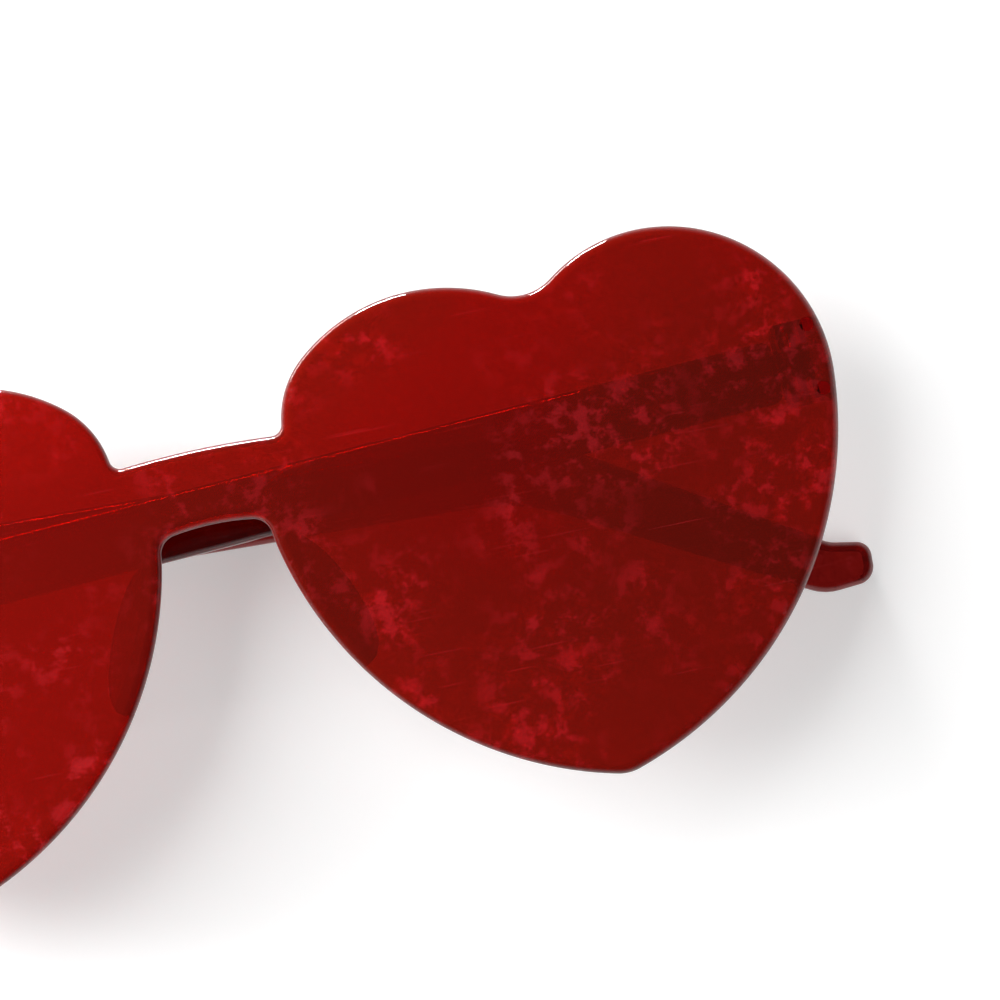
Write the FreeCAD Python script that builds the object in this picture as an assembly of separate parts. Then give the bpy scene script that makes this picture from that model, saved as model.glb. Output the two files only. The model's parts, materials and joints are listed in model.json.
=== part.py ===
import FreeCAD, Part
import math
import os

# Heart shaped sunglasses, folded and lying face up on the left temple. Millimetres and degrees.
# Each piece is drawn in the frame of the front sheet: +X to the right as seen from the front,
# +Y to the top of the hearts, +Z out of the front, and X zero in the middle of the bridge.
# The whole is then set down, so that the outer face of the left temple lies flat at Z zero.

# Front sheet
sheet_thickness = 2.0
sheet_curve_radius = 350.0
sheet_edge_round = 0.85

# Heart outline, right half of the front
outer_lobe_x = 55.1
outer_lobe_y = 0.25
outer_lobe_radius = 19.0
inner_lobe_x = 27.7
inner_lobe_y = -4.1
inner_lobe_radius = 21.4
heart_tip_x = 40.4
heart_tip_y = -37.0
heart_tip_radius = 5.0
outer_side_radius = 46.0
inner_side_radius = 43.5
cleft_radius = 6.0
shoulder_radius = 11.2
shoulder_start_deg = 130.0

# Bridge
bridge_top_y = 4.5
bridge_top_arch_radius = 110.0
bridge_notch_radius = 1.3
bridge_low_y = -4.3
bridge_low_arch_radius = 30.0
nose_corner_radius = 2.2

# Hinge
hinge_edge_inset = 4.3
hinge_rise = 0.35
hinge_setback = 4.5
hinge_lean_deg = 2.4
knuckle_radius = 1.65
knuckle_height = 3.7
knuckle_end_gap = 0.15
knuckle_side_gap = 0.3

# Hinge screw
screw_radius = 0.6
screw_head_radius = 1.05
screw_head_height = 0.8
screw_slot_width = 0.35
screw_slot_depth = 0.4
screw_end_cover = 0.6
running_clearance = 0.05
seat_clearance = 0.02

# End block
block_height = 9.4
block_inner_reach = 2.2
block_outer_reach = 3.4
block_corner_round = 0.8
cheek_drop = 1.6

# Lens pegs
peg_radius = 0.8
peg_spacing = 7.7
peg_from_axis = 2.3
peg_seat_depth = 1.6

# Temple
temple_thickness = 3.2
temple_tip_thickness = 2.5
temple_root_gap = 2.0
temple_root_height = 7.4
temple_bend_height = 7.8
temple_hook_height = 6.0
temple_tip_height = 4.6
temple_bend_length = 106.3
temple_hook_length = 38.0
temple_tip_length = 5.5
temple_hook_drop_deg = 28.0
temple_bend_top_radius = 32.0
temple_bend_low_radius = 24.0
temple_neck_radius = 4.0
temple_heel_radius = 6.0
temple_tip_top_radius = 1.8
temple_tip_low_radius = 2.2
temple_root_radius = 1.2
temple_edge_round = 1.1

# Folding: how far each temple lies from parallel with the front, and how far it opens past square
right_fold_in_deg = 1.6
left_fold_out_deg = 1.6
open_past_square_deg = 2.5

# Nose pad
pad_thickness = 1.9
pad_edge_inset = 0.4
pad_half_length = 9.0
pad_depth = 8.0
pad_splay_deg = 28.0
pad_drop = 11.9
pad_rim_round = 0.6

# Cuts and trimming solids run past what they cut by this much
overrun = 3.0

# Small helpers

ORIGIN = FreeCAD.Vector(0, 0, 0)
ALONG_X = FreeCAD.Vector(1, 0, 0)
ALONG_Y = FreeCAD.Vector(0, 1, 0)
ALONG_Z = FreeCAD.Vector(0, 0, 1)


def flat(x, y):
    return FreeCAD.Vector(x, y, 0)


def turned(degrees):
    """The unit vector at this angle in the plane of the front."""
    return flat(math.cos(math.radians(degrees)), math.sin(math.radians(degrees)))


def meet(centre_a, radius_a, centre_b, radius_b, side):
    """Where two circles cross, on the left (+1) or right (-1) of the line from a to b."""
    line = centre_b - centre_a
    length = line.Length
    along = (radius_a**2 - radius_b**2 + length**2) / (2 * length)
    across = math.sqrt(radius_a**2 - along**2)
    unit = line / length
    left = flat(-unit.y, unit.x)
    return centre_a + unit * along + left * (side * across)


def towards(centre, radius, point):
    """The point of a circle that lies towards another point."""
    line = point - centre
    return centre + line * (radius / line.Length)


def away(centre, radius, point):
    """The point of a circle that lies away from another point."""
    return towards(centre, radius, centre * 2 - point)


def arc(centre, start, end):
    """The shorter arc about a centre."""
    radius = (start - centre).Length
    middle = towards(centre, radius, (start + end) / 2)
    return Part.Arc(start, middle, end).toShape()


def rounded_loop(corners):
    """A closed wire through (point, radius) corners, with an arc at each corner that has a radius."""
    count = len(corners)
    starts = []
    ends = []
    middles = []
    for place, (corner, radius) in enumerate(corners):
        to_last = (corners[place - 1][0] - corner).normalize()
        to_next = (corners[(place + 1) % count][0] - corner).normalize()
        half_angle = to_last.getAngle(to_next) / 2
        cut = radius / math.tan(half_angle)
        centre = corner + (to_last + to_next).normalize() * (radius / math.sin(half_angle))
        starts.append(corner + to_last * cut)
        ends.append(corner + to_next * cut)
        middles.append(towards(centre, radius, corner))
    edges = []
    for place in range(count):
        edges.append(Part.Arc(starts[place], middles[place], ends[place]).toShape())
        edges.append(Part.LineSegment(ends[place], starts[(place + 1) % count]).toShape())
    return Part.Wire(edges)


def block_between(low, high):
    """A box from its lowest to its highest corner."""
    size = high - low
    return Part.makeBox(size.x, size.y, size.z, low)


def mirrored(shape):
    return shape.mirror(ORIGIN, ALONG_X)


def is_upright(edge):
    """Whether an edge runs along Z."""
    direction = edge.tangentAt(edge.FirstParameter)
    return abs(direction.z) > flat(direction.x, direction.y).Length


# Front sheet

outer_lobe = flat(outer_lobe_x, outer_lobe_y)
inner_lobe = flat(inner_lobe_x, inner_lobe_y)
heart_tip = flat(heart_tip_x, heart_tip_y)
outer_side = meet(
    outer_lobe, outer_side_radius - outer_lobe_radius, heart_tip, outer_side_radius - heart_tip_radius, -1
)
inner_side = meet(
    inner_lobe, inner_side_radius - inner_lobe_radius, heart_tip, inner_side_radius - heart_tip_radius, 1
)
half_width = outer_lobe_x + outer_lobe_radius
lowest_y = heart_tip_y - heart_tip_radius
highest_y = outer_lobe_y + outer_lobe_radius


def sheet_solid(radius):
    """A cylinder of this radius about the axis that the front is curved around."""
    height = highest_y - lowest_y + 2 * overrun
    base = FreeCAD.Vector(0, lowest_y - overrun, -sheet_curve_radius)
    return Part.makeCylinder(radius, height, base, ALONG_Y)


def half_outline():
    """The edges of the front's right half, from the top of the bridge round the heart to its underside."""
    cleft = meet(
        inner_lobe, inner_lobe_radius + cleft_radius, outer_lobe, outer_lobe_radius + cleft_radius, 1
    )
    shoulder = inner_lobe + turned(shoulder_start_deg) * (inner_lobe_radius - shoulder_radius)
    shoulder_start = inner_lobe + turned(shoulder_start_deg) * inner_lobe_radius
    top_arch = flat(0, bridge_top_y - bridge_top_arch_radius)
    notch = meet(
        top_arch,
        bridge_top_arch_radius + bridge_notch_radius,
        shoulder,
        shoulder_radius + bridge_notch_radius,
        1,
    )
    low_arch = flat(0, bridge_low_y - bridge_low_arch_radius)
    nose_corner = meet(
        low_arch,
        bridge_low_arch_radius - nose_corner_radius,
        inner_lobe,
        inner_lobe_radius + nose_corner_radius,
        1,
    )
    bridge_top = flat(0, bridge_top_y)
    notch_start = towards(notch, bridge_notch_radius, top_arch)
    notch_end = towards(notch, bridge_notch_radius, shoulder)
    cleft_start = towards(cleft, cleft_radius, inner_lobe)
    cleft_end = towards(cleft, cleft_radius, outer_lobe)
    outer_side_start = away(outer_lobe, outer_lobe_radius, outer_side)
    tip_start = away(heart_tip, heart_tip_radius, outer_side)
    tip_end = away(heart_tip, heart_tip_radius, inner_side)
    inner_side_end = away(inner_lobe, inner_lobe_radius, inner_side)
    nose_start = towards(nose_corner, nose_corner_radius, inner_lobe)
    nose_end = away(nose_corner, nose_corner_radius, low_arch)
    bridge_low = flat(0, bridge_low_y)
    return [
        arc(top_arch, bridge_top, notch_start),
        arc(notch, notch_start, notch_end),
        arc(shoulder, notch_end, shoulder_start),
        arc(inner_lobe, shoulder_start, cleft_start),
        arc(cleft, cleft_start, cleft_end),
        arc(outer_lobe, cleft_end, outer_side_start),
        arc(outer_side, outer_side_start, tip_start),
        arc(heart_tip, tip_start, tip_end),
        arc(inner_side, tip_end, inner_side_end),
        arc(inner_lobe, inner_side_end, nose_start),
        arc(nose_corner, nose_start, nose_end),
        arc(low_arch, nose_end, bridge_low),
    ]


def front_sheet(pegs):
    """The one-piece front: both hearts and the bridge, curved, with rounded edges and peg holes."""
    right = half_outline()
    edges = right + [mirrored(edge) for edge in right]
    outline = Part.Wire(Part.__sortEdges__(edges))
    sag = sheet_curve_radius - math.sqrt(sheet_curve_radius**2 - half_width**2)
    depth = sag + sheet_thickness + 2 * overrun
    prism = Part.Face(outline).extrude(ALONG_Z * -depth)
    prism.translate(ALONG_Z * overrun)
    curved = sheet_solid(sheet_curve_radius).cut(sheet_solid(sheet_curve_radius - sheet_thickness))
    sheet = prism.common(curved).Solids[0]
    rims = [edge for edge in sheet.Edges if not is_upright(edge)]
    sheet = sheet.makeFillet(sheet_edge_round, rims)
    for peg in pegs:
        centre = peg.CenterOfMass
        hole = Part.makeCylinder(
            peg_radius + seat_clearance,
            2 * depth,
            FreeCAD.Vector(centre.x, centre.y, -depth),
            ALONG_Z,
        )
        sheet = sheet.cut(hole)
    return sheet.Solids[0]


# Hinges: the right one is drawn about its own axis, then leaned and moved to its place

hinge_x = half_width - hinge_edge_inset
hinge_y = outer_lobe_y + hinge_rise
sheet_back_radius = sheet_curve_radius - sheet_thickness
back_at_hinge = math.sqrt(sheet_back_radius**2 - hinge_x**2) - sheet_curve_radius
hinge_z = back_at_hinge - hinge_setback
right_hinge = FreeCAD.Vector(hinge_x, hinge_y, hinge_z)
left_hinge = FreeCAD.Vector(-hinge_x, hinge_y, hinge_z)
hinge_place = FreeCAD.Placement(right_hinge, FreeCAD.Rotation(ALONG_Z, hinge_lean_deg))
knuckle_clear = knuckle_radius + knuckle_side_gap
ear_start = knuckle_height / 2 + knuckle_end_gap
block_half = block_height / 2
block_top = hinge_setback + overrun


def at_hinge(shape):
    """A shape drawn about the hinge, moved to the right hinge of the front."""
    moved = shape.copy()
    moved.Placement = hinge_place.multiply(shape.Placement)
    return moved


def behind_sheet(shape):
    """What of a shape lies behind the front sheet, and so seats on its back."""
    return shape.common(sheet_solid(sheet_back_radius))


def hinge_screw():
    """A slotted screw along the hinge, with its head sunk in the upper ear."""
    head_base = block_half - screw_head_height
    shank_base = screw_end_cover - block_half
    shank = Part.makeCylinder(screw_radius, head_base - shank_base, ALONG_Y * shank_base, ALONG_Y)
    head = Part.makeCylinder(screw_head_radius, screw_head_height, ALONG_Y * head_base, ALONG_Y)
    slot = block_between(
        FreeCAD.Vector(-screw_head_radius, block_half - screw_slot_depth, -screw_slot_width / 2),
        FreeCAD.Vector(screw_head_radius, block_half, screw_slot_width / 2),
    )
    return at_hinge(shank.fuse(head).removeSplitter().cut(slot))


def peg_rods(extra):
    """The two peg bodies, wider than a peg by extra, from their seat in the block to past the front."""
    rods = []
    for side in (-1, 1):
        base = FreeCAD.Vector(peg_from_axis, side * peg_spacing / 2, hinge_setback - peg_seat_depth)
        length = peg_seat_depth + sheet_thickness + overrun
        rods.append(Part.makeCylinder(peg_radius + extra, length, base, ALONG_Z))
    return rods


def lens_pegs():
    """Two pegs that hold the front to the block, flush with the front's face."""
    return [at_hinge(rod).common(sheet_solid(sheet_curve_radius)).Solids[0] for rod in peg_rods(0)]


def end_block():
    """The block behind the front that carries the two hinge ears, with an outer cheek as the open stop."""
    body = block_between(
        FreeCAD.Vector(-block_inner_reach, -block_half, knuckle_clear),
        FreeCAD.Vector(block_outer_reach, block_half, block_top),
    )
    cheek = block_between(
        FreeCAD.Vector(knuckle_clear, -block_half, -cheek_drop),
        FreeCAD.Vector(block_outer_reach, block_half, block_top),
    )
    shell = body.fuse(cheek).removeSplitter()
    uprights = [edge for edge in shell.Edges if is_upright(edge)]
    corners = [edge for edge in uprights if abs(edge.CenterOfMass.x) > knuckle_clear + seat_clearance]
    shell = shell.makeFillet(block_corner_round, corners)
    for side in (-1, 1):
        ear_base = ear_start if side > 0 else -block_half
        ear_length = block_half - ear_start
        ear = Part.makeCylinder(knuckle_radius, ear_length, ALONG_Y * ear_base, ALONG_Y)
        web = block_between(
            FreeCAD.Vector(-knuckle_radius, ear_base, 0),
            FreeCAD.Vector(knuckle_clear, ear_base + ear_length, knuckle_clear),
        )
        shell = shell.fuse(ear).fuse(web)
    shell = shell.removeSplitter()
    head_seat = block_half - screw_head_height
    bore = Part.makeCylinder(
        screw_radius + seat_clearance, block_height, ALONG_Y * (screw_end_cover - block_half), ALONG_Y
    )
    sink = Part.makeCylinder(
        screw_head_radius + seat_clearance, screw_head_height + overrun, ALONG_Y * head_seat, ALONG_Y
    )
    shell = shell.cut(bore).cut(sink)
    for rod in peg_rods(seat_clearance):
        shell = shell.cut(rod)
    return behind_sheet(at_hinge(shell)).Solids[0]


# Temples: drawn along X from the hinge, with Y up the hinge and Z towards the outer side

hook_turn = math.radians(temple_hook_drop_deg)
hook_along = flat(math.cos(hook_turn), -math.sin(hook_turn))
bend_point = flat(temple_bend_length, 0)
heel_point = bend_point + hook_along * temple_hook_length
end_point = heel_point + ALONG_X * temple_tip_length
mitre = turned(90 - temple_hook_drop_deg / 2) / math.cos(hook_turn / 2)


def temple_outline():
    """The temple seen from the side: a straight bar, the hook behind the ear and a levelled tip."""
    root_half = temple_root_height / 2
    bend_half = temple_bend_height / 2
    hook_half = temple_hook_height / 2
    tip_half = temple_tip_height / 2
    return rounded_loop(
        [
            (flat(temple_root_gap, root_half), temple_root_radius),
            (bend_point + mitre * bend_half, temple_bend_top_radius),
            (heel_point + mitre * hook_half, temple_neck_radius),
            (end_point + ALONG_Y * tip_half, temple_tip_top_radius),
            (end_point - ALONG_Y * tip_half, temple_tip_low_radius),
            (heel_point - mitre * hook_half, temple_heel_radius),
            (bend_point - mitre * bend_half, temple_bend_low_radius),
            (flat(temple_root_gap, -root_half), temple_root_radius),
        ]
    )


def temple():
    """The right temple, folded and parallel with the front: a bar that thins to its tip, and a knuckle."""
    bar = Part.Face(temple_outline()).extrude(ALONG_Z * temple_thickness)
    thinning = temple_thickness - temple_tip_thickness
    reach = end_point.x + overrun
    wedge_profile = Part.makePolygon(
        [
            flat(0, 0),
            flat(reach, 0),
            flat(reach, thinning * reach / end_point.x),
            flat(0, 0),
        ]
    )
    wedge_height = temple_root_height + temple_hook_length + overrun
    wedge = Part.Face(wedge_profile).extrude(ALONG_Z * (2 * wedge_height))
    wedge.rotate(ORIGIN, ALONG_X, 90)
    wedge.translate(ALONG_Y * wedge_height)
    bar = bar.cut(wedge).Solids[0]
    rims = [edge for edge in bar.Edges if not is_upright(edge)]
    bar = bar.makeFillet(temple_edge_round, rims)
    knuckle_half = knuckle_height / 2
    knuckle = Part.makeCylinder(knuckle_radius, knuckle_height, ALONG_Y * -knuckle_half, ALONG_Y)
    neck = block_between(
        FreeCAD.Vector(0, -knuckle_half, 0),
        FreeCAD.Vector(temple_root_gap + temple_thickness, knuckle_half, knuckle_radius),
    )
    bar = bar.fuse(knuckle).fuse(neck).removeSplitter()
    bore = Part.makeCylinder(
        screw_radius + running_clearance, knuckle_height, ALONG_Y * -knuckle_half, ALONG_Y
    )
    bar = bar.cut(bore).Solids[0]
    folded = FreeCAD.Placement(ORIGIN, FreeCAD.Rotation(ALONG_Y, 180))
    bar.Placement = folded.multiply(bar.Placement)
    return at_hinge(bar)


# Nose pads: a curved fin that follows the inner side of the heart and splays outwards behind it


def nose_pad():
    rim_radius = inner_side_radius - pad_edge_inset
    taper = math.tan(math.radians(pad_splay_deg))
    height = pad_depth + sheet_thickness + 2 * overrun
    top = inner_side + ALONG_Z * overrun
    lead = taper * (overrun + sheet_thickness)
    outer = Part.makeCone(
        rim_radius + lead, rim_radius + lead - taper * height, height, top, ALONG_Z * -1
    )
    inner = Part.makeCone(
        rim_radius + lead - pad_thickness,
        rim_radius + lead - pad_thickness - taper * height,
        height,
        top,
        ALONG_Z * -1,
    )
    pad_middle_y = inner_lobe_y - pad_drop
    drop = pad_middle_y - inner_side.y
    middle_x = inner_side.x - math.sqrt(rim_radius**2 - drop**2)
    lift = (pad_half_length**2 - pad_depth**2) / (2 * pad_depth)
    ball_centre = FreeCAD.Vector(middle_x, pad_middle_y, lift - sheet_thickness)
    ball = Part.makeSphere(pad_depth + lift, ball_centre)
    fin = outer.cut(inner).common(ball).Solids[0]
    fin = fin.makeFillet(pad_rim_round, fin.Edges)
    return behind_sheet(fin).Solids[0]


# Put the pieces together


def build():
    """Every piece as folded, in the frame of the front sheet."""
    right_pegs = lens_pegs()
    left_pegs = [mirrored(peg) for peg in right_pegs]
    pieces = {
        "lens_front": front_sheet(right_pegs + left_pegs),
        "right_lens_pegs": Part.makeCompound(right_pegs),
        "left_lens_pegs": Part.makeCompound(left_pegs),
    }
    for name, shape in (
        ("end_block", end_block()),
        ("hinge_screw", hinge_screw()),
        ("nose_pad", nose_pad()),
        ("temple", temple()),
    ):
        pieces["right_" + name] = shape
        pieces["left_" + name] = mirrored(shape)
    pieces["right_temple"].rotate(right_hinge, right_opens, -right_fold_in_deg)
    pieces["left_temple"].rotate(left_hinge, left_opens, left_fold_out_deg)
    return pieces


# Each temple opens by turning about this axis
lean = math.radians(hinge_lean_deg)
right_opens = flat(math.sin(lean), -math.cos(lean))
left_opens = flat(math.sin(lean), math.cos(lean))

pieces = build()

# Set the glasses down on the left temple's outer face, with the origin under the middle of the whole
level = FreeCAD.Placement(ORIGIN, FreeCAD.Rotation(left_opens, -left_fold_out_deg), left_hinge)
for shape in pieces.values():
    shape.Placement = level.multiply(shape.Placement)
extent = Part.makeCompound(list(pieces.values())).optimalBoundingBox(False)
down = FreeCAD.Vector(-extent.Center.x, -extent.Center.y, -extent.ZMin)
for shape in pieces.values():
    shape.translate(down)

os.makedirs("parts", exist_ok=True)
for name, shape in pieces.items():
    shape.exportStep("parts/" + name + ".step")

settle = FreeCAD.Placement(down, FreeCAD.Rotation()).multiply(level)
print("size", [round(side, 2) for side in (extent.XLength, extent.YLength, extent.ZLength)])
print("front origin", settle.multVec(ORIGIN))
print("front normal", level.Rotation.multVec(ALONG_Z))
print("right hinge", settle.multVec(right_hinge), level.Rotation.multVec(right_opens))
print("left hinge", settle.multVec(left_hinge), level.Rotation.multVec(left_opens))
print("right opens", 90 + open_past_square_deg + right_fold_in_deg)
print("left opens", 90 + open_past_square_deg - left_fold_out_deg)
for name, shape in pieces.items():
    print(name, len(shape.Solids), round(shape.Volume, 2), shape.isValid())
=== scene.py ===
import json
import math

import bpy
from mathutils import Matrix, Vector


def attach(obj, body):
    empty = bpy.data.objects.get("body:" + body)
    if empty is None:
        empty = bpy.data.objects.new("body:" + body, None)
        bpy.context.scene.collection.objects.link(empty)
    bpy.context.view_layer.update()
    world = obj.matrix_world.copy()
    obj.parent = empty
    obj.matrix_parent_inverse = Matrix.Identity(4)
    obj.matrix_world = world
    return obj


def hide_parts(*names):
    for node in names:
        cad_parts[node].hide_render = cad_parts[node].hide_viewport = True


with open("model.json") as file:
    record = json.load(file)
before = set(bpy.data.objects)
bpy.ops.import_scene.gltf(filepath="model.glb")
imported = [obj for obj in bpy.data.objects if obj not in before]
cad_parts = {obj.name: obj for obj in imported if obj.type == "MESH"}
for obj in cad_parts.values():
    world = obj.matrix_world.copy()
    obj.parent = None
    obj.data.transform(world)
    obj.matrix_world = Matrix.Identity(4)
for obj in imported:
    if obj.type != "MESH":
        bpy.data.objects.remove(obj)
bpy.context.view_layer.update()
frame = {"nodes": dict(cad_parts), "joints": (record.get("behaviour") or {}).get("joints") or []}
nodes = frame["nodes"]
joints = {joint["name"]: joint for joint in frame["joints"]}

# Sizes of the glasses are millimetres, turned into metres by front_place; marks and stage are in metres
MM = 0.001

# Front sheet
sheet_thickness = 2.0
sheet_curve_radius = 350.0
edge_round_width = 1.3
edge_round_share = 0.46
edge_round_steps = 8
edge_angle_deg = 50.0
sheet_back_air = 0.02
strip_width = 1.4
weld_distance = 0.01
flat_angle_deg = 0.1
smooth_angle_deg = 40.0
smooth_weight = 90

# Heart outline, right half of the front
outer_lobe = Vector((55.1, 0.25, 0))
outer_lobe_radius = 19.0
inner_lobe = Vector((27.7, -4.1, 0))
inner_lobe_radius = 21.4
heart_tip = Vector((40.4, -37.0, 0))
heart_tip_radius = 5.0
outer_side_radius = 46.0
inner_side_radius = 43.5
cleft_radius = 6.0
shoulder_radius = 11.2
shoulder_start_deg = 130.0

# Bridge
bridge_top = Vector((0, 4.5, 0))
bridge_top_arch_radius = 110.0
bridge_notch_radius = 1.3
bridge_low = Vector((0, -4.3, 0))
bridge_low_arch_radius = 30.0
nose_corner_radius = 2.2

# Hinge and lens pegs, in the frame of the front sheet
hinge_x = 69.8
hinge_y = 0.6
hinge_setback = 4.5
hinge_lean_deg = 2.4
front_tilt_deg = 1.6
peg_radius = 0.8
peg_spacing = 7.7
peg_from_axis = 2.3
peg_clearance = 0.02
drill_length = 18.0
drill_facets = 64

# Outline steps: the longest chord and the widest turn of one step along an arc, and an arc's fewest steps
arc_chord = 0.8
arc_turn_deg = 6.0
arc_fewest_steps = 2

# Clear red plastic: tones of clean, deeper and worn places, share of light let through, and depth of colour
plastic_ior = 1.585
plastic_smooth = 0.02
plastic_rough = 0.2
depth_density = 1000.0
clear_depth = (0.97, 0, 0)
frame_depth = (0.9, 0, 0)
sheet_tone = (0.32, 0.006, 0.003)
sheet_deep = (0.265, 0.01, 0.004)
sheet_worn = (0.6, 0.018, 0.022)
sheet_clearness = 0.63
frame_tone = (0.27, 0.005, 0.003)
frame_deep = (0.21, 0.008, 0.004)
frame_worn = (0.42, 0.025, 0.025)
frame_clearness = 0.85
block_tone = (0.7, 0.01, 0.008)
block_deep = (0.6, 0.012, 0.008)
block_worn = (0.55, 0.04, 0.04)
block_clearness = 1.0

# Screw steel
steel_smooth = 0.22
steel_rough = 0.45
steel_tone = (0.6, 0.6, 0.62)
steel_deep = (0.5, 0.5, 0.52)
steel_worn = (0.42, 0.41, 0.4)

# Marks of use: slow clouds of deeper tone, smears of specks in patches, and hair scratches
noise_roughness = 0.7
cloud_share = 0.4
cloud_detail = 1
cloud_low = 0.38
cloud_high = 0.62
patch_detail = 2
patch_low = 0.4
patch_high = 0.66
speck_detail = 7
speck_softness = 0.12
scratch_detail = 1
scratch_softness = 0.06
scratch_turns_deg = (24, -51)
scratch_scale = (70, 5200, 70)
relief_strength = 0.2
relief_depth = 0.00005
sheet_marks = {"Patches per Metre": 50, "Specks per Metre": 400, "Speck Start": 0.49, "Scratch Start": 0.74}
frame_marks = {"Patches per Metre": 60, "Specks per Metre": 400, "Speck Start": 0.52, "Scratch Start": 0.72}
steel_marks = {"Patches per Metre": 900, "Specks per Metre": 4000, "Speck Start": 0.45, "Scratch Start": 0.6}

# Floor and sky; the sky's level goes from its low to its high one as the view rises
floor_width = 4.0
floor_tone = (0.78, 0.78, 0.78)
floor_glow = 0.36
sky_low_rise = 0.08
sky_high_rise = 0.6
sky_low_level = 0.6
sky_high_level = 0.03

# Soft boxes, in metres and watts; polished edges show the mirrored ones
lamps = {
    "key": {
        "place": (-0.54, 0.3, 0.62),
        "target": (0, 0, 0),
        "size": (0.8, 0.6),
        "power": 7.2,
        "mirrored": False,
    },
    "left": {
        "place": (-0.17, 0.05, 0.07),
        "target": (-0.03, -0.01, 0.005),
        "size": (0.1, 0.06),
        "power": 0.45,
        "mirrored": False,
    },
    "fill": {
        "place": (0.5, -0.5, 0.6),
        "target": (0, 0, 0),
        "size": (0.8, 0.6),
        "power": 3,
        "mirrored": False,
    },
    "rim": {
        "place": (-0.24, 0.45, 0.045),
        "target": (0, 0, 0.01),
        "size": (0.34, 0.07),
        "power": 1.5,
        "mirrored": True,
    },
    "window": {
        "place": (-0.012, 0.5, 0.05),
        "target": (0, 0, 0.01),
        "size": (0.14, 0.06),
        "power": 3.3,
        "mirrored": True,
    },
}

# Camera, in the frame of the front sheet
camera_target = Vector((32.68, -8.62, 0))
camera_azimuth_deg = -12.23
camera_elevation_deg = 85.0
camera_distance = 520.0
camera_lens = 164.1
camera_sensor = 36.0

# Frame of the front sheet: X right, Y to the top of the hearts, Z out of the front, in millimetres
left_hinge = joints["left_temple_hinge"]
sheet_back_radius = sheet_curve_radius - sheet_thickness
hinge_z = math.sqrt(sheet_back_radius**2 - hinge_x**2) - sheet_curve_radius - hinge_setback
tilt = Matrix.Rotation(math.radians(-front_tilt_deg), 4, Vector(left_hinge["axis"]))
front_place = (
    Matrix.Translation(left_hinge["pos_m"])
    @ tilt
    @ Matrix.Scale(MM, 4)
    @ Matrix.Translation((hinge_x, -hinge_y, -hinge_z))
)


# Circles that meet and touch
def meet(centre_a, radius_a, centre_b, radius_b, side):
    """Where two circles cross, on the left (+1) or right (-1) of the line from a to b."""
    line = centre_b - centre_a
    along = (radius_a**2 - radius_b**2 + line.length_squared) / (2 * line.length)
    across = math.sqrt(radius_a**2 - along**2)
    unit = line.normalized()
    left = Vector((-unit.y, unit.x, 0))
    return centre_a + unit * along + left * (side * across)


def towards(centre, radius, point):
    """The point of a circle that lies towards another point."""
    return centre + (point - centre).normalized() * radius


def away(centre, radius, point):
    """The point of a circle that lies away from another point."""
    return centre - (point - centre).normalized() * radius


def half_outline():
    """The arcs of the front's right half, each as its centre and end, from the top of the bridge round."""
    outer_side = meet(
        outer_lobe, outer_side_radius - outer_lobe_radius, heart_tip, outer_side_radius - heart_tip_radius, -1
    )
    inner_side = meet(
        inner_lobe, inner_side_radius - inner_lobe_radius, heart_tip, inner_side_radius - heart_tip_radius, 1
    )
    cleft = meet(
        inner_lobe, inner_lobe_radius + cleft_radius, outer_lobe, outer_lobe_radius + cleft_radius, 1
    )
    start_turn = math.radians(shoulder_start_deg)
    start_way = Vector((math.cos(start_turn), math.sin(start_turn), 0))
    shoulder = inner_lobe + start_way * (inner_lobe_radius - shoulder_radius)
    top_arch = bridge_top - Vector((0, bridge_top_arch_radius, 0))
    notch = meet(
        top_arch,
        bridge_top_arch_radius + bridge_notch_radius,
        shoulder,
        shoulder_radius + bridge_notch_radius,
        1,
    )
    low_arch = bridge_low - Vector((0, bridge_low_arch_radius, 0))
    nose_corner = meet(
        low_arch,
        bridge_low_arch_radius - nose_corner_radius,
        inner_lobe,
        inner_lobe_radius + nose_corner_radius,
        1,
    )
    return [
        (top_arch, towards(notch, bridge_notch_radius, top_arch)),
        (notch, towards(notch, bridge_notch_radius, shoulder)),
        (shoulder, inner_lobe + start_way * inner_lobe_radius),
        (inner_lobe, towards(cleft, cleft_radius, inner_lobe)),
        (cleft, towards(cleft, cleft_radius, outer_lobe)),
        (outer_lobe, away(outer_lobe, outer_lobe_radius, outer_side)),
        (outer_side, away(heart_tip, heart_tip_radius, outer_side)),
        (heart_tip, away(heart_tip, heart_tip_radius, inner_side)),
        (inner_side, away(inner_lobe, inner_lobe_radius, inner_side)),
        (inner_lobe, towards(nose_corner, nose_corner_radius, inner_lobe)),
        (nose_corner, away(nose_corner, nose_corner_radius, low_arch)),
        (low_arch, bridge_low),
    ]


# Modelling helpers
def edit(obj):
    """Starts editing one object, with all of it selected."""
    bpy.ops.object.select_all(action="DESELECT")
    bpy.context.view_layer.objects.active = obj
    obj.select_set(True)
    bpy.ops.object.mode_set(mode="EDIT")
    bpy.ops.mesh.select_all(action="SELECT")


def done():
    """Ends the editing."""
    bpy.ops.object.mode_set(mode="OBJECT")


def start_line(name, point):
    """A new object of one vertex, left in edit mode with that vertex selected."""
    bpy.ops.object.select_all(action="DESELECT")
    bpy.ops.mesh.primitive_plane_add(size=1)
    obj = bpy.context.object
    obj.name = name
    bpy.ops.object.mode_set(mode="EDIT")
    bpy.ops.mesh.merge(type="CENTER")
    bpy.ops.transform.translate(value=point)
    return obj


def spin_to(centre, start, end):
    """Spins the last vertex of a line along the shorter arc about a centre."""
    turn = (start - centre).xy.angle_signed((end - centre).xy)
    radius = (start - centre).length
    widest = min(arc_chord / radius, math.radians(arc_turn_deg))
    steps = max(arc_fewest_steps, math.ceil(abs(turn) / widest))
    bpy.ops.mesh.spin(steps=steps, angle=turn, center=centre, axis=(0, 0, 1))


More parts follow.
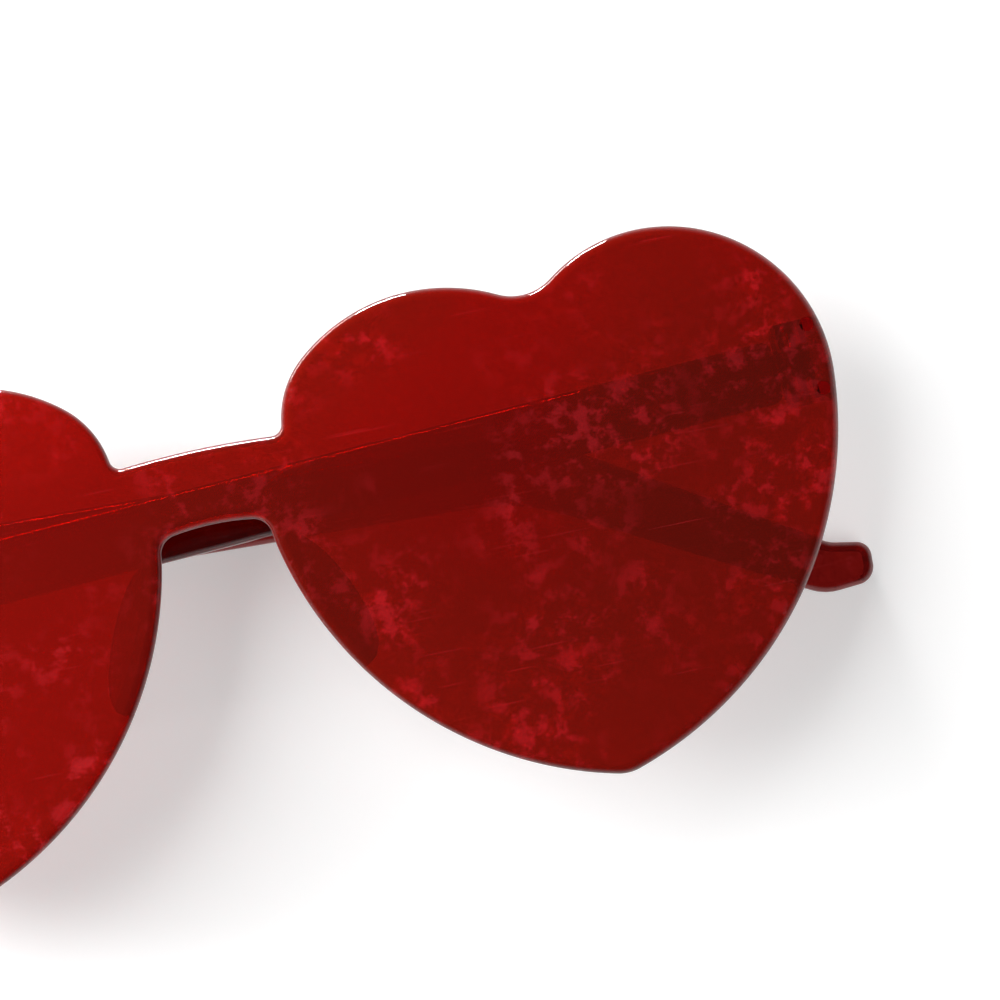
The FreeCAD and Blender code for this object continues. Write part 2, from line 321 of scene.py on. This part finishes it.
def apply_modifier(obj, kind, **settings):
    """Adds a modifier to an object and applies it."""
    bpy.ops.object.select_all(action="DESELECT")
    bpy.context.view_layer.objects.active = obj
    obj.select_set(True)
    modifier = obj.modifiers.new(kind.lower(), kind)
    for name, value in settings.items():
        setattr(modifier, name, value)
    bpy.ops.object.modifier_apply(modifier=modifier.name)


def settle(obj, place):
    """Puts a piece at its place and leaves the place in its mesh."""
    bpy.ops.object.select_all(action="DESELECT")
    bpy.context.view_layer.objects.active = obj
    obj.select_set(True)
    obj.matrix_world = place
    bpy.ops.object.transform_apply(location=True, rotation=True, scale=True)


def smooth(obj):
    """Smooth shading up to an angle, with broad faces kept flat."""
    bpy.ops.object.select_all(action="DESELECT")
    bpy.context.view_layer.objects.active = obj
    obj.select_set(True)
    bpy.ops.object.shade_smooth_by_angle(angle=math.radians(smooth_angle_deg))
    apply_modifier(obj, "WEIGHTED_NORMAL", keep_sharp=True, weight=smooth_weight)


def fall(x, radius):
    """How far a sheet curved about the Y axis lies behind the middle of its front."""
    return math.sqrt(radius**2 - x**2) - sheet_curve_radius


# The one-piece front
def peg_places():
    """Where the pegs pass the front, in its own frame."""
    lean = Matrix.Rotation(math.radians(hinge_lean_deg), 4, "Z")
    for side in (-1, 1):
        place = lean @ Vector((peg_from_axis, side * peg_spacing / 2, 0))
        yield hinge_x + place.x, hinge_y + place.y
        yield -hinge_x - place.x, hinge_y + place.y


def front_sheet():
    """Both hearts and the bridge: one outline cut into upright strips, curved, rounded and drilled."""
    obj = start_line("front_sheet", bridge_top)
    start = bridge_top
    for centre, end in half_outline():
        spin_to(centre, start, end)
        start = end
    bpy.ops.mesh.select_all(action="SELECT")
    bpy.ops.mesh.edge_face_add()
    bpy.ops.mesh.normals_make_consistent(inside=False)
    done()
    apply_modifier(obj, "MIRROR", merge_threshold=weld_distance)
    # The edge is rounded on a thicker sheet and pressed to the true thickness, which makes the round oval
    round_thickness = edge_round_width / edge_round_share
    edit(obj)
    bpy.ops.mesh.dissolve_limited(angle_limit=math.radians(flat_angle_deg))
    bpy.ops.mesh.extrude_region_move(TRANSFORM_OT_translate={"value": (0, 0, -round_thickness)})
    bpy.ops.mesh.select_all(action="SELECT")
    bpy.ops.mesh.normals_make_consistent(inside=False)
    done()
    apply_modifier(
        obj,
        "BEVEL",
        width=edge_round_width,
        segments=edge_round_steps,
        limit_method="ANGLE",
        angle_limit=math.radians(edge_angle_deg),
    )
    edit(obj)
    half_width = outer_lobe.x + outer_lobe_radius
    strips = int(half_width / strip_width)
    for place in range(-strips, strips + 1):
        bpy.ops.mesh.select_all(action="SELECT")
        bpy.ops.mesh.bisect(plane_co=(place * strip_width, 0, 0), plane_no=(1, 0, 0))
    bpy.ops.mesh.select_all(action="SELECT")
    bpy.ops.mesh.remove_doubles(threshold=weld_distance)
    done()
    for vertex in obj.data.vertices:
        depth_share = -vertex.co.z / round_thickness
        radius = sheet_curve_radius - depth_share * (sheet_thickness - sheet_back_air)
        vertex.co.z = fall(vertex.co.x, radius)
    for x, y in peg_places():
        bpy.ops.object.select_all(action="DESELECT")
        bpy.ops.mesh.primitive_cylinder_add(
            vertices=drill_facets,
            radius=peg_radius + peg_clearance,
            depth=drill_length,
            location=(x, y, hinge_z),
        )
        drill = bpy.context.object
        apply_modifier(obj, "BOOLEAN", object=drill, operation="DIFFERENCE", solver="EXACT")
        bpy.data.objects.remove(drill)
    settle(obj, front_place)
    smooth(obj)
    return obj


sheet = front_sheet()
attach(sheet, "front")
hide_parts("lens_front")


# Materials
def node(tree, kind, inputs, **settings):
    """A shader node with its settings; a socket as an input is linked, anything else is its value."""
    made = tree.nodes.new("ShaderNode" + kind)
    for name, value in settings.items():
        setattr(made, name, value)
    for name, value in inputs.items():
        if isinstance(value, bpy.types.NodeSocket):
            tree.links.new(value, made.inputs[name])
        else:
            made.inputs[name].default_value = value
    return made


def noise_mask(tree, place, scale, detail, low, high):
    """A soft mask of the parts of a cloudy pattern that rise from low to high."""
    pattern = node(
        tree, "TexNoise", {"Vector": place, "Scale": scale, "Detail": detail, "Roughness": noise_roughness}
    )
    mask = node(
        tree,
        "MapRange",
        {"Value": pattern.outputs["Fac"], "From Min": low, "From Max": high},
        interpolation_type="SMOOTHSTEP",
    )
    return mask.outputs["Result"]


def marks_group():
    """Marks of use that the materials share: slow clouds, smears of fine specks in patches, and scratches."""
    group = bpy.data.node_groups.new("marks_of_use", "ShaderNodeTree")
    group.interface.new_socket("Place", in_out="INPUT", socket_type="NodeSocketVector")
    for name in ("Patches per Metre", "Specks per Metre", "Speck Start", "Scratch Start"):
        group.interface.new_socket(name, in_out="INPUT", socket_type="NodeSocketFloat")
    for name in ("Cloud", "Smear", "Scratch"):
        group.interface.new_socket(name, in_out="OUTPUT", socket_type="NodeSocketFloat")
    given = group.nodes.new("NodeGroupInput").outputs
    speck_end = node(group, "Math", {0: given["Speck Start"], 1: speck_softness}, operation="ADD")
    scratch_end = node(group, "Math", {0: given["Scratch Start"], 1: scratch_softness}, operation="ADD")
    cloud_size = node(group, "Math", {0: given["Patches per Metre"], 1: cloud_share}, operation="MULTIPLY")
    cloud = noise_mask(group, given["Place"], cloud_size.outputs[0], cloud_detail, cloud_low, cloud_high)
    patches = noise_mask(
        group, given["Place"], given["Patches per Metre"], patch_detail, patch_low, patch_high
    )
    specks = noise_mask(
        group,
        given["Place"],
        given["Specks per Metre"],
        speck_detail,
        given["Speck Start"],
        speck_end.outputs[0],
    )
    smear = node(group, "Math", {0: patches, 1: specks}, operation="MULTIPLY")
    scratches = []
    for turn in scratch_turns_deg:
        along = node(
            group,
            "Mapping",
            {"Vector": given["Place"], "Rotation": (0, 0, math.radians(turn)), "Scale": scratch_scale},
        )
        scratches.append(
            noise_mask(
                group,
                along.outputs[0],
                1,
                scratch_detail,
                given["Scratch Start"],
                scratch_end.outputs[0],
            )
        )
    scratch = node(group, "Math", {0: scratches[0], 1: scratches[1]}, operation="MAXIMUM")
    out = group.nodes.new("NodeGroupOutput").inputs
    group.links.new(cloud, out["Cloud"])
    group.links.new(smear.outputs[0], out["Smear"])
    group.links.new(scratch.outputs[0], out["Scratch"])
    return group


def marked(name, marks, clean, deep, worn, smooth_level, rough_level, marks_values):
    """A new material whose tone, roughness and relief carry the marks of use; its shader and output."""
    material = bpy.data.materials.new(name)
    material.use_nodes = True
    tree = material.node_tree
    tree.nodes.clear()
    place = node(tree, "TexCoord", {}).outputs["Object"]
    used = node(tree, "Group", {}, node_tree=marks)
    tree.links.new(place, used.inputs["Place"])
    for socket, value in marks_values.items():
        used.inputs[socket].default_value = value
    both = node(
        tree, "Math", {0: used.outputs["Smear"], 1: used.outputs["Scratch"]}, operation="MAXIMUM"
    ).outputs[0]
    body = node(tree, "Mix", {0: used.outputs["Cloud"]}, data_type="RGBA")
    body.inputs[6].default_value = (*clean, 1)
    body.inputs[7].default_value = (*deep, 1)
    tone = node(tree, "Mix", {0: both, 6: body.outputs[2]}, data_type="RGBA")
    tone.inputs[7].default_value = (*worn, 1)
    gloss = node(tree, "MapRange", {"Value": both, "To Min": smooth_level, "To Max": rough_level})
    scratch = used.outputs["Scratch"]
    relief = node(
        tree, "Bump", {"Strength": relief_strength, "Distance": relief_depth, "Height": scratch}
    )
    shader = node(
        tree,
        "BsdfPrincipled",
        {"Base Color": tone.outputs[2], "Roughness": gloss.outputs["Result"], "Normal": relief.outputs[0]},
    )
    output = tree.nodes.new("ShaderNodeOutputMaterial")
    tree.links.new(shader.outputs[0], output.inputs["Surface"])
    return material, shader, output


def clear_red(name, marks, clean, deep, worn, clearness, depth_colour, marks_values):
    """Polished clear red plastic that darkens with its depth."""
    material, shader, output = marked(
        name, marks, clean, deep, worn, plastic_smooth, plastic_rough, marks_values
    )
    shader.inputs["IOR"].default_value = plastic_ior
    shader.inputs["Transmission Weight"].default_value = clearness
    depth = node(
        material.node_tree, "VolumeAbsorption", {"Color": (*depth_colour, 1), "Density": depth_density}
    )
    material.node_tree.links.new(depth.outputs[0], output.inputs["Volume"])
    return material


def steel(marks):
    """Bright steel with turning marks."""
    material, shader, _ = marked(
        "screw_steel", marks, steel_tone, steel_deep, steel_worn, steel_smooth, steel_rough, steel_marks
    )
    shader.inputs["Metallic"].default_value = 1
    return material


def dress(obj, material):
    """Gives a piece one material."""
    obj.data.materials.clear()
    obj.data.materials.append(material)


marks = marks_group()
sheet_red = clear_red(
    "sheet_red", marks, sheet_tone, sheet_deep, sheet_worn, sheet_clearness, clear_depth, sheet_marks
)
frame_red = clear_red(
    "frame_red", marks, frame_tone, frame_deep, frame_worn, frame_clearness, frame_depth, frame_marks
)
block_red = clear_red(
    "block_red", marks, block_tone, block_deep, block_worn, block_clearness, clear_depth, frame_marks
)
screw_steel = steel(marks)
dress(sheet, sheet_red)
for name, part in nodes.items():
    if "screw" in name:
        dress(part, screw_steel)
    elif "block" in name or "pegs" in name:
        dress(part, block_red)
    else:
        dress(part, frame_red)


# Floor
def floor():
    """A plain pale floor that is brighter to the eye, to mirrors and through glass than as a light."""
    bpy.ops.object.select_all(action="DESELECT")
    bpy.ops.mesh.primitive_plane_add(size=floor_width)
    obj = bpy.context.object
    obj.name = "floor"
    material = bpy.data.materials.new("pale_floor")
    material.use_nodes = True
    tree = material.node_tree
    tree.nodes.clear()
    output = tree.nodes.new("ShaderNodeOutputMaterial")
    paint = node(tree, "BsdfDiffuse", {"Color": (*floor_tone, 1)})
    ray = node(tree, "LightPath", {})
    seen = node(
        tree,
        "Math",
        {0: ray.outputs["Is Camera Ray"], 1: ray.outputs["Is Glossy Ray"]},
        operation="MAXIMUM",
    )
    seen = node(
        tree,
        "Math",
        {0: seen.outputs[0], 1: ray.outputs["Is Transmission Ray"]},
        operation="MAXIMUM",
    )
    level = node(tree, "Math", {0: seen.outputs[0], 1: floor_glow}, operation="MULTIPLY")
    glow = node(tree, "Emission", {"Strength": level.outputs[0]})
    both = node(tree, "AddShader", {0: paint.outputs[0], 1: glow.outputs[0]})
    tree.links.new(both.outputs[0], output.inputs["Surface"])
    dress(obj, material)


floor()


# Light
def sky(scene):
    """A plain sky that is pale at the horizon and dark overhead."""
    world = bpy.data.worlds.new("studio")
    scene.world = world
    world.use_nodes = True
    tree = world.node_tree
    way = node(tree, "TexCoord", {}).outputs["Generated"]
    rise = node(tree, "SeparateXYZ", {0: way}).outputs["Z"]
    level = node(
        tree,
        "MapRange",
        {
            "Value": rise,
            "From Min": sky_low_rise,
            "From Max": sky_high_rise,
            "To Min": sky_low_level,
            "To Max": sky_high_level,
        },
        interpolation_type="SMOOTHSTEP",
    )
    backdrop = tree.nodes["Background"]
    backdrop.inputs["Color"].default_value = (1, 1, 1, 1)
    tree.links.new(level.outputs["Result"], backdrop.inputs["Strength"])


def lamp(name, place, target, size, power, mirrored):
    """A soft box that looks at a point."""
    bpy.ops.object.light_add(type="AREA", location=place)
    obj = bpy.context.object
    obj.name = name
    obj.data.shape = "RECTANGLE"
    obj.data.size = size[0]
    obj.data.size_y = size[1]
    obj.data.energy = power
    obj.rotation_euler = (Vector(place) - Vector(target)).to_track_quat("Z", "Y").to_euler()
    obj.visible_camera = False
    obj.visible_glossy = mirrored


scene = bpy.context.scene
scene.view_settings.view_transform = "Standard"
sky(scene)
for name, settings in lamps.items():
    lamp(name, **settings)


# Camera
def camera(scene):
    """The photograph's view."""
    bpy.ops.object.camera_add()
    obj = bpy.context.object
    obj.name = "camera"
    obj.data.lens = camera_lens
    obj.data.sensor_width = camera_sensor
    turn = Matrix.Rotation(math.radians(camera_azimuth_deg), 4, "Z")
    nod = Matrix.Rotation(math.radians(90 - camera_elevation_deg), 4, "X")
    back_off = Matrix.Translation((0, 0, camera_distance))
    view = front_place @ Matrix.Translation(camera_target) @ turn @ nod @ back_off
    place, rotation, _ = view.decompose()
    obj.location = place
    obj.rotation_mode = "QUATERNION"
    obj.rotation_quaternion = rotation
    scene.camera = obj


camera(scene)
